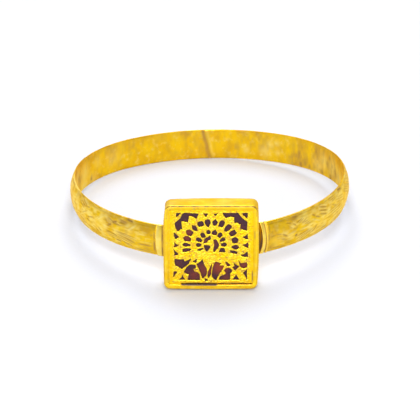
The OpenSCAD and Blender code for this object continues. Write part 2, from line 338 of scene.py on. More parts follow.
def sweep(angle, out, up):
    """Points of a band: out from the inner wall and up along the hoop's axis."""
    centre, radius = plan(angle)
    a = np.radians(angle)
    reach = radius[:, None] + out
    return np.stack([centre[:, 0, None] + reach * np.cos(a)[:, None],
                     centre[:, 1, None] + reach * np.sin(a)[:, None],
                     np.broadcast_to(up, reach.shape)], -1)


def even_angles(start, end, step):
    """Angles whose points are about a step apart along the crown, and their distances."""
    fine = np.linspace(start, end, 6000)
    _, radius = plan(fine)
    along = np.concatenate([[0], np.cumsum(
        (radius[1:] + BAND_T) * np.radians(np.diff(fine)))])
    s = np.linspace(0, along[-1], int(along[-1] / step) + 1)
    return np.interp(s, along, fine), s


RIM_POINTS = 5


def d_section(dome_points, wall_points, grow=0.0):
    """The band's section: out, up, and the outward normal of each point of a closed loop."""
    half = BAND_H / 2 + grow
    soft = 0.45 * RIM_T
    lean = math.asin((BAND_H / 2) / DOME_R)
    turn = lean * np.linspace(-1, 1, dome_points)
    reach = DOME_R + grow
    dome = np.stack([BAND_T - DOME_R + reach * np.cos(turn), reach * np.sin(turn)], -1)
    dome[:, 1] *= (half - soft * 0.3) / dome[-1, 1]
    dome_n = np.stack([np.cos(turn), np.sin(turn)], -1)
    edge = dome[-1, 0] - 0.02
    bend = np.linspace(math.radians(20), math.radians(160), RIM_POINTS)
    rim = np.stack([(edge - grow) / 2 + (edge + grow) / 2 * np.cos(bend),
                    half - soft + soft * np.sin(bend)], -1)
    rim_n = np.stack([np.cos(bend), np.sin(bend)], -1)
    wall = np.stack([np.full(wall_points, -grow),
                     np.linspace(half - soft, soft - half, wall_points)], -1)
    wall_n = np.tile([-1, 0.0], (wall_points, 1))
    foot = rim[::-1] * [1, -1]
    foot_n = rim_n[::-1] * [1, -1]
    return np.concatenate([dome, rim, wall, foot]), np.concatenate([dome_n, rim_n, wall_n, foot_n])


HOOP_START = 270 + RIGHT_EDGE + deg_wide(FIT_GAP)
HOOP_END = 630 - LEFT_EDGE - deg_wide(FIT_GAP)
HOOP_STEP = 0.165
DOME_POINTS = 66
WALL_POINTS = 16


def leaf(relief, root, length, rise, side):
    """A chased leaf: two curved outlines, a raised vein with a painted highlight, and short
    strokes off the vein.
    """
    u0, v0 = root
    along = np.linspace(0, 1, 6)
    for swell in (-1, 1):
        bow = 0.55 * swell * np.sin(np.pi * along)
        relief.stroke(np.stack([u0 + side * length * along, v0 + rise * along + bow], -1),
                      0.25, -0.08, 0.5)
    # The vein is raised and carries a painted highlight
    relief.stroke([(u0, v0), (u0 + side * length, v0 + rise)], 0.3, 0.06, -0.5)
    for k in range(1, 6):
        t = k / 6
        u, v = u0 + side * length * t, v0 + rise * t
        reach = 0.62 * math.sin(math.pi * t)
        for swell in (-1, 1):
            relief.stroke([(u, v + 0.12 * swell), (u + side * 0.45, v + swell * reach)],
                          0.2, -0.06, 0.45)


def leaf_scroll(relief, start, end):
    """Leaves that spring up and down in turn from a wavy stem, along the band's far side."""
    pitch = 4.6
    count = int((end - start) / pitch)
    for k in range(count):
        u = start + (k + 0.5) * (end - start) / count
        up = 1 if k % 2 else -1
        side = 1 if u < (start + end) / 2 else -1
        relief.stroke([(u - side * 2.3, -0.5 * up), (u - side, 0.1 * up), (u, 0.3 * up),
                       (u + side * 1.4, 0), (u + side * 2.3, -0.5 * up)], 0.28, -0.07, 0.5)
        leaf(relief, (u - side * 0.8, 0.5 * up), 3.4, 1.6 * up, side)
        leaf(relief, (u + side * 1.6, -0.6 * up), 2.6, -1.5 * up, side)


# Chased lines and dents of the band that show in the photograph, and painted highlights on raised
# lines.
# pixel of one end, pixel of the other, width in mm, lift in mm, tone (dark above 0; under 0 a
# painted highlight)
BAND_LINES = [
    (86.8, 216.2, 93.5, 217.2, 0.35, -0.1, 0.55), (86.4, 217.9, 89.4, 220.8, 0.5, -0.12, 0.75),
    (82.1, 211.9, 87.4, 210.6, 0.35, -0.06, 0.35), (86.4, 206.0, 90, 207.4, 0.35, -0.1, 0.55),
    (74.1, 200.5, 76.7, 204.8, 0.4, -0.06, 0.4), (73.1, 178.4, 74.9, 184.8, 0.4, -0.05, 0.5),
    (79.2, 193.5, 80.6, 196.6, 0.6, -0.06, 0.55), (107.2, 224.8, 111.4, 223.6, 0.7, -0.12, 0.7),
    (111.8, 221.8, 117.2, 221.4, 0.7, -0.12, 0.74), (119, 221, 127.5, 222.6, 1.0, -0.1, 0.6),
    (126.4, 218.8, 133.3, 222, 0.5, -0.15, 0.85), (117.5, 225, 123.5, 225.5, 0.3, -0.06, 0.4),
    (105.8, 231.4, 112.4, 232.8, 0.4, -0.1, 0.55), (112.4, 233.4, 117.3, 236.1, 0.4, -0.1, 0.6),
    (111.8, 236.6, 113.8, 238, 0.35, -0.08, 0.5), (116, 239, 121.5, 241.2, 0.45, -0.12, 0.75),
    (122, 240.6, 130.6, 246.2, 0.35, -0.1, 0.55), (124.5, 237.9, 135.5, 243.9, 0.35, -0.1, 0.6),
    (114.8, 231, 126.4, 234.9, 0.3, -0.08, 0.45), (127.6, 243, 133, 246.9, 0.35, -0.1, 0.55),
    (137.6, 243.8, 151.8, 246.6, 0.5, -0.12, 0.65), (135.7, 248.2, 155, 253.2, 0.5, -0.07, 0.55),
    (154.2, 231.5, 153.8, 240, 0.45, -0.1, 0.6), (153.8, 240, 155.2, 252.5, 0.55, -0.13, 0.8),
    (291.6, 217.9, 297.4, 215.5, 0.6, -0.1, 0.7), (291.5, 219.2, 297, 217.8, 0.6, -0.05, 0.35),
    (285.8, 222.7, 292.6, 222.7, 0.3, -0.1, 0.5), (292.6, 222.7, 297.2, 225.4, 0.3, -0.1, 0.5),
    (297.2, 225.4, 297.8, 228, 0.3, -0.1, 0.55), (297.8, 228, 293, 228.6, 0.3, -0.08, 0.5),
    (287.5, 224.5, 293, 228.3, 0.3, -0.06, 0.35), (272.2, 231.7, 273.6, 231.5, 0.4, -0.08, 0.6),
    (269.8, 238, 275.5, 234.6, 0.4, -0.08, 0.5), (275.5, 234.6, 282.7, 234.3, 0.35, -0.08, 0.5),
    (282.7, 234.3, 287.7, 236.3, 0.5, -0.1, 0.68), (295.4, 236.8, 296.9, 233.6, 0.7, -0.12, 0.85),
    (311.8, 232, 317.4, 224.6, 0.45, -0.12, 0.7), (281.5, 238.8, 288, 240.2, 0.5, -0.08, 0.5),
    (287, 243, 290.5, 242.4, 0.4, -0.08, 0.45), (268.5, 249, 286, 245, 0.6, -0.06, 0.6),
    (312, 214.4, 316, 215.4, 0.5, -0.1, 0.65), (315.5, 215.8, 320.4, 216.5, 0.45, -0.1, 0.65),
    (332, 204.3, 337.3, 204.9, 0.45, -0.08, 0.5), (337, 190.5, 341, 187.4, 0.7, -0.12, 0.8),
    (269.4, 232, 269.6, 242, 0.5, -0.04, 0.45), (320.6, 228.4, 326, 225, 0.6, -0.07, 0.45),
    (127, 230.6, 136.7, 225.2, 0.6, 0.1, -1.0), (96.7, 220, 105.2, 215.2, 0.5, 0.08, -0.9),
    (94, 219.5, 100, 216.2, 0.4, 0.06, -0.7), (84.6, 198.5, 89.3, 205.8, 0.7, 0.1, -1.0),
    (79.5, 214.0, 87, 211.6, 0.5, 0.06, -0.8), (75.4, 177.0, 76.4, 184, 0.4, 0.05, -1.0),
    (76.4, 184.0, 80.5, 191.5, 0.4, 0.05, -1.0), (286.5, 236, 296.4, 231, 0.5, 0.08, -0.8),
    (300.5, 229.5, 312, 224.5, 0.5, 0.07, -0.8), (311, 219, 321, 220.3, 0.5, 0.06, -0.7),
    (319.5, 204.8, 327.5, 204.6, 0.35, 0.06, -0.9), (320, 217.8, 329, 212, 0.5, 0.06, -0.7),
    (276, 238, 286, 238.2, 0.7, 0.06, -0.35), (138, 241.5, 151.5, 243.8, 0.5, 0.06, -0.3),
    (268.9, 225, 269.4, 233, 0.5, -0.05, 0.5), (269.6, 245, 271.5, 250.5, 0.6, -0.06, 0.55),
    (269.2, 233.5, 269.5, 241.5, 0.6, -0.05, 0.6),
    (298, 219, 309, 214.5, 0.6, 0.06, -0.7)]

# Clusters of parallel strokes: pixels of the first stroke's ends and of the last one's,
# then their number, width in mm, lift in mm, tone; the ridges between the strokes get painted
# highlights
BAND_HATCHES = [
    (80.3, 199.5, 83.2, 207.5, 84.2, 198.5, 87.5, 206.5, 3, 0.3, -0.09, 0.5),
    (104.5, 218.5, 111, 225, 108.5, 216.5, 113.5, 222.5, 4, 0.4, -0.08, 0.45),
    (111.5, 220, 117, 222.8, 113, 223, 121, 225, 3, 0.35, -0.09, 0.55),
    (118.5, 218.8, 127, 222.6, 119.5, 221.5, 126, 224.2, 3, 0.4, -0.1, 0.62),
    (95.3, 226.8, 99.3, 232.0, 97.6, 226.3, 101.7, 231.2, 2, 0.35, -0.1, 0.6),
    (105.8, 231, 117.5, 236.2, 107, 234, 118, 239.5, 3, 0.3, -0.08, 0.45),
    (115, 230, 136, 238.5, 116.5, 236.5, 133, 246.0, 6, 0.28, -0.08, 0.5),
    (297.2, 222.5, 302, 217.5, 306.5, 224, 312, 221.0, 6, 0.28, -0.08, 0.5),
    (294.5, 238, 311, 227.5, 298.5, 241.5, 317, 226.5, 4, 0.3, -0.09, 0.52),
    (327.5, 212, 341, 200.5, 331.5, 219.5, 344.5, 207.0, 5, 0.28, -0.07, 0.42),
    (328, 199.8, 334, 194.5, 331.5, 201.8, 336, 197.5, 3, 0.28, -0.09, 0.5),
    (334, 198.5, 343, 193.5, 336, 202.5, 344.5, 198.5, 3, 0.28, -0.06, 0.35),
    (343, 183.8, 348.4, 183.8, 342.6, 190.8, 348.2, 190.8, 4, 0.28, -0.08, 0.45),
    (343.5, 175.5, 348.1, 175.8, 343.4, 181, 348.4, 181, 3, 0.28, -0.06, 0.35),
    (318.8, 206.7, 327.4, 206.3, 319.9, 213.1, 327.5, 213.2, 3, 0.42, -0.12, 0.64),
    (319, 230, 327, 224, 322, 232, 329, 226.5, 3, 0.3, -0.06, 0.35)]

# Broad patches of the band, in the same way: pixel, width in mm, lift in mm, tone; those under 0
# are painted highlights
BAND_PATCHES = [
    (147, 229, 2.6, 0, 0.28), (153, 227, 2.0, 0, 0.35), (148, 250, 2.2, 0, 0.35),
    (124, 221, 2.5, 0, 0.25), (109, 220, 2.4, 0, 0.3), (79, 192, 2.2, 0, 0.35),
    (75, 203, 2.0, 0, 0.2), (98, 231, 1.5, 0, 0.2), (271, 236, 2.2, 0, 0.4),
    (272, 246, 2.0, 0, 0.35), (284, 229, 3.0, 0, 0.22), (288, 241, 1.6, 0, 0.3),
    (276, 229, 2.4, 0, 0.3), (322, 228, 2.4, 0, 0.25), (270, 248, 1.6, 0, 0.4),
    (277, 241, 2.5, 0, -0.2), (306, 216, 2.5, 0, -0.5), (129, 229, 2.5, 0, -0.4)]

# Broad patches of the inner wall, in the same way; those under 0 are painted highlights
WALL_PATCHES = [
    (80, 180, 4.0, 0, 0.45), (76, 172, 3.0, 0, 0.4), (111, 149, 3.0, 0, 0.4),
    (133, 148, 2.0, 0, 0.3), (187, 134, 3.5, 0, 0.35), (199, 146, 2.5, 0, 0.4),
    (237, 148, 2.5, 0, 0.3), (258, 139, 3.5, 0, 0.4), (297, 152, 4.5, 0, 0.65),
    (306, 164, 3.5, 0, 0.6), (319, 156, 4.5, 0, 0.6), (330, 165, 4.0, 0, 0.6),
    (336, 174, 4.0, 0, 0.55), (313, 172, 3.5, 0, 0.7), (291, 168, 2.5, 0, 0.45),
    (113, 158, 4.5, 0, -0.35), (98, 162, 3.0, 0, -0.4), (265, 152, 3.0, 0, -0.7),
    (246, 149, 1.6, 0, -0.7), (270, 145, 2.0, 0, -0.7), (278, 152, 1.5, 0, -0.6),
    (277, 143, 1.6, 0, -0.6), (84, 175, 5.0, 0, -1.0), (78, 175, 5.0, 0, -1.0),
    (84, 187, 4.0, 0, -1.0), (92, 180, 3.5, 0, -0.6), (324, 160, 4.0, 0, -0.9),
    (332, 168, 5.0, 0, -1.0), (338, 178, 4.0, 0, -1.0), (318, 166, 4.0, 0, -0.8),
    (300, 164.5, 1.6, 0, 0.8), (310, 167, 1.6, 0, 0.9), (321, 171.5, 1.8, 0, 0.9),
    (331, 177, 1.8, 0, 0.8), (91.5, 178, 1.2, 0, 0.8), (101, 174.5, 1.2, 0, 0.7)]

# A painted highlight on the band's upper rim at the left: its pixel, and how far it reaches
RIM_HIGHLIGHT = (77, 183, 24)

# Sines of the angles round the hoop's axis up to which the camera sees the dome, and from
# which it sees the inner wall
DOME_SHOWN_TO = 0.12
WALL_SHOWN_FROM = -0.3

# Heights of the two lines chased along the dome's edges
BORDER_LINES = (-3.1, 3.0)


def chase_dome(dome, where, s, back):
    """Chases and wears the dome: as in the photograph, and with leaves where it is hidden. Its
    upper part is darkened in blotches as painted shade.
    """
    dome.chart(BAND_LINES, BAND_PATCHES, BAND_HATCHES)
    hidden = s[back[:, 0] > DOME_SHOWN_TO]
    leaf_scroll(dome, hidden[0] + 1, hidden[-1] - 1)
    for v in BORDER_LINES:
        dome.stroke([(0, v), (s[-1], v)], 0.25, -0.04, 0.3, taper=0)
    fine = grain(where, 0.5, 4)
    along = np.concatenate([dome.uv, np.zeros_like(dome.uv[..., :1])], -1) * (0.22, 1, 1)
    scratch = grain(along, 0.3, 17)
    dome.height += 0.03 * grain(where, 1.6, 3) + 0.015 * fine + 0.02 * scratch
    # Painted shade: darker towards the upper edge, in blotches; the fine grain and the scratches
    # are wear
    upper_shade = np.clip((dome.uv[..., 1] - 1.6) / 1.4, 0, 1)
    cloud = grain(where, 3.5, 7)
    shade_and_wear = upper_shade * (0.12 + 0.12 * cloud) + 0.1 * fine + 0.35 * np.clip(-scratch - 0.1, 0, 1)
    dome.tarnish_and_shade = np.maximum(dome.tarnish_and_shade, shade_and_wear)
    from_end = np.minimum(dome.uv[..., 0], s[-1] - dome.uv[..., 0])
    pale = 0.28 + 0.5 * grain(where, 1.2, 8) + 0.4 * scratch - 0.7 * np.exp(-from_end / 4)
    dome.pale_and_highlight = np.maximum(dome.pale_and_highlight, np.clip(pale, 0, 1))


def wear_and_highlight_wall(wall, where):
    """Mottles and dents the inner wall, browner towards its upper edge, with painted highlights
    where its patches are under 0.
    """
    wall.chart(dots=WALL_PATCHES)
    upright = where * (1, 1, 0.6)
    mottle = 0.5 + 0.5 * grain(upright, 1.1, 12) + 0.4 * grain(upright, 0.5, 13)
    high = np.clip((wall.uv[..., 1] - 0.8) / 2.5, 0, 1) * (0.6 + 0.4 * grain(where, 3, 19))
    wall.tarnish_and_shade = wall.tarnish_and_shade * (0.3 + 0.65 * mottle) + 0.3 * mottle - 0.12 + 0.2 * high
    wall.tarnish_and_shade = np.clip(wall.tarnish_and_shade, 0, 0.7)
    wall.pale_and_highlight = np.clip(wall.pale_and_highlight * (0.5 + 0.5 * mottle), 0, 1)
    wall.height += 0.05 * grain(where, 4.0, 5) + 0.02 * grain(where, 1.2, 6)
    draw_seam(wall, where, mottle, high)


def draw_seam(wall, where, mottle, high):
    """The leaning seam of the inner wall: a brown groove with a raised ridge on its right that
    carries a painted highlight.
    """
    aside = where[..., 0] - SEAM_X + where[..., 2] * math.tan(math.radians(SEAM_LEAN))
    aside = aside + 0.15 * grain(where, 1.7, 14) + 1e3 * (where[..., 1] < 0)
    wall.height += 0.05 * bell(aside - 0.6, 0.6) - 0.08 * bell(aside, 0.6)
    wall.tarnish_and_shade = np.maximum(wall.tarnish_and_shade, (0.5 + 0.3 * mottle) * bell(aside + 0.1, 1.1))
    wall.tarnish_and_shade = np.maximum(wall.tarnish_and_shade, 0.35 * bell(aside + 0.7, 1.3) * high)
    # Painted highlight on the seam's ridge
    wall.pale_and_highlight = np.maximum(wall.pale_and_highlight, 0.3 * bell(aside - 0.8, 0.7))


def make_hoop():
    """The hoop as one closed skin, with its dome chased and its inner wall gently dented."""
    angle, s = even_angles(HOOP_START, HOOP_END, HOOP_STEP)
    section, normal = d_section(DOME_POINTS, WALL_POINTS)
    out = np.broadcast_to(section[:, 0], (len(s), len(section)))
    bare = sweep(angle, out, section[:, 1])
    uv = np.stack(np.broadcast_arrays(s[:, None], section[None, :, 1]), -1)
    seen = to_photo(in_hoop(bare))
    back = np.sin(np.radians(angle))[:, None]
    wall_from = DOME_POINTS + RIM_POINTS
    on_dome = slice(0, DOME_POINTS)
    on_wall = slice(wall_from, wall_from + WALL_POINTS)
    dome = Relief(uv[:, on_dome], seen[:, on_dome], back < DOME_SHOWN_TO)
    chase_dome(dome, bare[:, on_dome], s, back)
    wall = Relief(uv[:, on_wall], seen[:, on_wall], back > WALL_SHOWN_FROM)
    wear_and_highlight_wall(wall, bare[:, on_wall])

    lift = np.zeros(uv.shape[:-1])
    tarnish_and_shade = np.clip(0.3 + 0.3 * grain(bare, 1.5, 16), 0, 1)
    # Painted highlight along the upper rim at the left, on the side the camera sees, with no
    # tarnish under it
    rim_highlight = bell(norm(seen - RIM_HIGHLIGHT[:2], axis=-1), RIM_HIGHLIGHT[2])
    pale_and_highlight = rim_highlight * (back < 0.3)
    tarnish_and_shade = tarnish_and_shade * (1 - rim_highlight)
    for part, relief in ((on_dome, dome), (on_wall, wall)):
        lift[:, part] = relief.height
        tarnish_and_shade[:, part] = relief.tarnish_and_shade
        pale_and_highlight[:, part] = relief.pale_and_highlight
    points = sweep(angle, out + lift * normal[:, 0], section[:, 1])
    points[..., 2] += lift * normal[:, 1]
    hoop = make_mesh("hoop_chased", in_hoop(points), tube_faces(len(s), len(section)),
                     tarnish_and_shade, pale_and_highlight)
    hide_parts("hoop")
    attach(hoop, "root")
    return hoop


# A strap's rings are this far apart, and its edges are rounded this far in and down
RING_STEP = 0.06
STRAP_SOFT = 0.12
STRAP_FALL = 0.08


def strap(start, end, height=0.0, tone=0.0, pale_and_highlight=(0.5, 0.5), joint=0.0):
    """Rings across a soft-edged strap: place, height, tone and paleness of each; the paleness is
    painted highlight.

    joint is the tone of the strap's last bit, where it meets the setting: tarnish and painted
    shade.
    """
    rings = []
    for t in np.linspace(0, 1, max(3, int((end - start) / RING_STEP))):
        place = start + t * (end - start)
        fall = max(0, 1 - min(place - start, end - place) / STRAP_SOFT)
        near = min(1.0, max(0, 2.0 - (end - place) / 0.3))
        rings.append((place, height - STRAP_FALL * (1 - math.sqrt(1 - fall ** 2)),
                      max(tone, joint * near), pale_and_highlight[0] + t * (pale_and_highlight[1] - pale_and_highlight[0])))
    return rings


def front_lobe(angle, out, up):
    """Points beside the setting: angle in radians from the front, out from the inner wall."""
    reach = LOBE_R + out
    return np.stack(np.broadcast_arrays(reach * np.sin(angle), -ARC_C - reach * np.cos(angle),
                                        up), -1)


def at_side(x, out, up):
    """Angles in degrees at which points of the hoop lie at this x of the upright frame."""
    return np.degrees(np.arcsin((x + up * SKEW_SIN) / SKEW_COS / (LOBE_R + out)))


COLLAR_SECTION, COLLAR_NORMAL = d_section(48, 14, grow=COLLAR_PROUD)


def make_collar(name, node, start, end, width, rings):
    """A collar of rings from the start angle to the end angle, in degrees from the front."""
    place, height, tone, pale_and_highlight = (column[:, None] for column in np.array(rings).T)
    out, up = COLLAR_SECTION.T
    angle = np.radians(start + (end - start) * place / width)
    where = front_lobe(angle, out, up)
    lift = height + 0.015 * grain(where, 0.8, 11)
    points = front_lobe(angle, out + lift * COLLAR_NORMAL[:, 0], up + lift * COLLAR_NORMAL[:, 1])
    speckle = grain(where, 0.7, 15)
    # A tone over 1 marks the right collar's end face: painted shade of its hollow end, with
    # tarnish, full in the middle and fading towards the top and bottom
    end_shade = np.where(tone < 1, 1, np.clip((2.6 - np.abs(up + 0.55)) / 0.5, 0, 1))
    tarnish_and_shade = tone * (0.9 + 0.25 * speckle) * (0.3 + 0.7 * end_shade)
    pale_and_highlight = pale_and_highlight * (1 + 0.5 * speckle)
    collar = make_mesh(name, in_hoop(points), tube_faces(len(place), len(out)), tarnish_and_shade, pale_and_highlight)
    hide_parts(node)
    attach(collar, "root")
    return collar


def make_left_collar():
    """The plain strap, with a painted highlight that fades from the band side, and brown with
    tarnish and painted shade where it meets the setting.
    """
    out, up = COLLAR_SECTION.T
    return make_collar("collar_left_soft", "collar_left", -LEFT_EDGE,
                       at_side(BOX_LEFT - FIT_GAP, out, up), STRAP_W,
                       strap(0, STRAP_W, pale_and_highlight=(1, 0.1), joint=0.8))


# The right collar's end face: its gap to the setting at the inner wall, how much the gap
# widens for each mm further out, and its rings, painted shade of the hollow end with tarnish:
# place, height, tone and paleness
FACE_GAP = 0.05
FACE_SLANT = 0.75
FACE_RINGS = [(0, -0.5, 1.3, 0), (0, -0.12, 1.3, 0)]


def make_right_collar():
    """The strip, groove and ridge, with an end face that slants away from the setting and is
    painted dark as shade; the strip and ridge carry painted highlights.
    """
    out, up = COLLAR_SECTION.T
    ridge_at = STRIP_W + GROOVE_W
    face = at_side(BOX_RIGHT + FACE_GAP + FACE_SLANT * np.clip(out, 0, 2), out, up)
    rings = (FACE_RINGS + strap(0, STRIP_W, pale_and_highlight=(0.4, 0.6))
             + strap(STRIP_W + 0.02, ridge_at - 0.02, -0.15, 0.8)
             + strap(ridge_at, ridge_at + RIDGE_W, pale_and_highlight=(0.3, 0.3)))
    return make_collar("collar_right_soft", "collar_right", face, RIGHT_EDGE,
                       ridge_at + RIDGE_W, rings)


# Lines and dots of the folded lip, set out like the band's lines and patches
LIP_LINES = [
    (254.4, 231.5, 254.3, 239.6, 0.25, -0.04, 0.55), (254.6, 242, 254.5, 262, 0.15, -0.02, 0.2),
    (256.8, 211, 256.7, 217, 0.2, -0.02, 0.4), (166.6, 208.5, 166.4, 219, 0.25, -0.02, 0.25),
    (165, 226, 165.2, 262, 0.3, -0.02, 0.2), (257, 250, 256.6, 281, 0.3, -0.02, 0.25)]
LIP_DOTS = [
    (166.2, 218.5, 0.35, -0.03, 0.5), (256.8, 216.5, 0.3, -0.03, 0.5),
    (240, 287, 0.5, -0.03, 0.3), (188, 286.5, 0.6, -0.03, 0.2),
    (166, 243.2, 0.35, -0.03, 0.45), (227.5, 286.5, 0.5, -0.03, 0.35),
    (194, 208.8, 0.5, -0.03, 0.45), (198, 208.4, 0.45, -0.03, 0.4),
    (205, 208, 0.4, -0.02, 0.3), (168.8, 210.2, 0.35, -0.03, 0.45)]


def lip_rows():
    """Setting's section from the back plate round the wall and over the lip: inset, height."""
    rows = [(1.25, 0.0), (0.8, 0.0), (0.35, 0.0), (0.16, 0.02), (0.05, 0.09), (0, 0.2)]
    rows += [(0.0, z) for z in np.linspace(0.4, BOX_D - EDGE_R - 0.06, 18)]
    for turn in np.linspace(0, 90, 17):
        a = math.radians(turn)
        reach = EDGE_R - 0.16 * bell(turn - 48, 24)
        rows.append((EDGE_R - reach * math.cos(a), BOX_D - EDGE_R + reach * math.sin(a)))
    face_end = LIP_W - 0.15
    rows += [(x, BOX_D) for x in np.linspace(EDGE_R + 0.05, face_end, 11)]
    rows += [(face_end + 0.06, BOX_D - 0.03), (face_end + 0.11, BOX_D - 0.08),
             (LIP_W - 0.01, BOX_D - 0.13), (LIP_W, BOX_D - 0.17), (LIP_W - 0.03, BOX_D - LIP_T),
             (0.8, BOX_D - LIP_T), (WALL_T + 0.04, BOX_D - LIP_T)]
    rows += [(WALL_T, 4.1), (WALL_T, 2.5), (WALL_T, WALL_T), (0.8, WALL_T), (1.25, WALL_T)]
    return np.array(rows)


def worn_box(flat, height, outer):
    """The box's outside bent as in the photograph: its sides bow out, its back draws in.

    Bends are in mm; rise is -1 at the foot of the box and 1 at its top, front 1 at its face.
    """
    x, y = flat[..., 0], flat[..., 1]
    front = np.clip(height / BOX_D, 0, 1)
    rise = y / (BOX_H / 2)
    top = np.clip((rise - 0.5) / 0.3, 0, 1)
    corner = np.clip((rise - 0.75) / 0.25, 0, 1) ** 1.5
    foot = np.clip(-rise, 0, 1)
    behind = np.clip((1 - front) / 0.12, 0, 1) * top
    right = 0.16 - 0.36 * rise ** 2 - 0.03 * foot + 0.12 * behind
    right = np.where(right > 0, right * np.clip((front - 0.35) / 0.3, 0, 1), right)
    left = -0.03 - 0.12 * foot ** 2 - 0.3 * corner - 0.4 * behind
    deepest = FIT_GAP - WALL_T
    bow = np.where(x > 0, np.maximum(right, deepest), -np.maximum(left, deepest))
    beside = np.clip((np.abs(x) - BOX_W / 2 + 2.5) / 1.2, 0, 1)
    middle = 1 - 1.3 * (x / (BOX_W / 2)) ** 2
    swell = (0.13 * middle + 0.015 * np.minimum(x, 0)) * (1 - front) * (rise > 0.8)
    swell = swell - 0.12 * front * middle * (rise < -0.8)
    return np.stack([x + bow * beside * outer, y + swell * outer], -1)


SIDE_STEPS = 170
CORNER_STEPS = 12


def round_box(rows):
    """Places round the box, side by side and corner by corner, with one for each row."""
    ring = []
    for k in range(4):
        reach, run = (BOX_W / 2, BOX_H / 2) if k % 2 == 0 else (BOX_H / 2, BOX_W / 2)
        c, s = cos_sin(90 * k)
        turn = np.array([[c, s], [-s, c]])
        for t in np.linspace(-1, 1, SIDE_STEPS, endpoint=False):
            flat = np.stack([reach - rows[:, 0], np.full(len(rows), t * (run - CORNER_R))], -1)
            ring.append(flat @ turn)
        for a in np.radians(np.linspace(0, 90, CORNER_STEPS, endpoint=False)):
            arm = np.maximum(CORNER_R - rows[:, 0], 0.02)
            flat = np.stack([reach - CORNER_R + arm * math.cos(a),
                             run - CORNER_R + arm * math.sin(a)], -1)
            ring.append(flat @ turn)
    return np.array(ring)


def round_faces(rings, across):
    """Faces of the skin round the box, closed by one face outside and one inside."""
    i, j = np.meshgrid(np.arange(rings), np.arange(across - 1), indexing="ij")
    n = (i + 1) % rings
    faces = np.stack([i * across + j, n * across + j, n * across + j + 1,
                      i * across + j + 1], -1).reshape(-1, 4).tolist()
    faces.append([k * across for k in range(rings)][::-1])
    faces.append([k * across + across - 1 for k in range(rings)])
    return faces


def box_tarnish_and_shade(flat, inset, level, at_foot, soft, fine):
    """Dark and pale tones of the box: tarnish and painted shade in its crease, painted shadow in
    the slit under the lip, painted shade and a touch of painted highlight on its top, and pale
    mottling.
    """
    slit_shadow = at_foot * (inset > LIP_W - 0.22) * (np.abs(flat[..., 0]) < BOX_W / 2 - LIP_W)
    dotted = np.where(flat[..., 0] < -6, np.clip(2.5 * fine, 0, 1), 1)
    crease = bell(inset - 0.18, 0.26) * (level > BOX_D - EDGE_R)
    top = np.clip(flat[..., 1] - BOX_H / 2 + 1.5, 0, 1)
    wide_part = np.clip((4.2 - np.abs(flat[..., 0] + 2.5)) / 0.5, 0, 1)
    below_face = level < BOX_D - 0.1
    # Tarnish and painted shade in the crease, darkest along the top edge
    tarnish_and_shade = crease * (0.32 + 0.7 * top) * (0.95 + 0.25 * fine)
    # Painted shadow in the slit under the lip at the foot, broken up at the left and darkest in
    # its middle stretch
    tarnish_and_shade = np.maximum(tarnish_and_shade, 0.4 * slit_shadow * dotted * (0.85 + 0.3 * fine))
    tarnish_and_shade = np.maximum(tarnish_and_shade, at_foot * wide_part * (inset > LIP_W - 0.2))
    # Painted shade on the top wall, and a touch of painted highlight there
    tarnish_and_shade = np.maximum(tarnish_and_shade, (0.13 + 0.1 * fine) * top * below_face)
    return tarnish_and_shade, np.clip(0.1 + 0.05 * top + 0.5 * soft, 0, 1) * below_face


def make_setting():
    """The soldered box: back plate, walls, and the lip folded over with a crease at its edge."""
    rows = lip_rows()
    inset, level = rows.T
    flat = round_box(rows)
    height = np.broadcast_to(level, flat.shape[:-1]).copy()
    where = np.concatenate([flat, height[..., None]], -1)
    soft = grain(where, 3, 21)
    fine = grain(where, 0.9, 22)
    on_face = (level > BOX_D - 0.18) & (inset > 0.1)
    face = Relief(flat, to_photo(in_box(where)),
                  np.broadcast_to(on_face, flat.shape[:-1]))
    face.chart(LIP_LINES, LIP_DOTS)
    face.height += 0.025 * soft + 0.015 * fine + 0.008 * grain(where, 0.3, 23)
    at_foot = np.clip((LIP_W + 0.3 - BOX_H / 2 - flat[..., 1]) / 0.3, 0, 1)
    thinned = 0.14 * np.clip((inset - 0.5) / (LIP_W - 0.5), 0, 1) ** 1.5 * (1 - at_foot)
    height += (face.height - thinned) * on_face
    height = np.maximum(height, np.minimum(level, BOX_D - LIP_T + 0.01))
    tarnish_and_shade, pale_and_highlight = box_tarnish_and_shade(flat, inset, level, at_foot, soft, fine)
    tarnish_and_shade = np.maximum(tarnish_and_shade, face.tarnish_and_shade * on_face)
    outer = (inset < EDGE_R + 0.01) | (level > BOX_D - LIP_T + 0.005)
    outward = flat / norm(flat, axis=-1, keepdims=True)
    wander = (0.03 * soft + 0.015 * fine) * (level > 0.15) * (inset < EDGE_R)
    flat = worn_box(flat + outward * wander[..., None], height, outer)
    points = np.concatenate([flat, height[..., None]], -1)
    setting = make_mesh("setting_worn", in_box(points), round_faces(*flat.shape[:2]),
                        tarnish_and_shade, pale_and_highlight)
    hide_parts("setting")
    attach(setting, "root")
    return setting


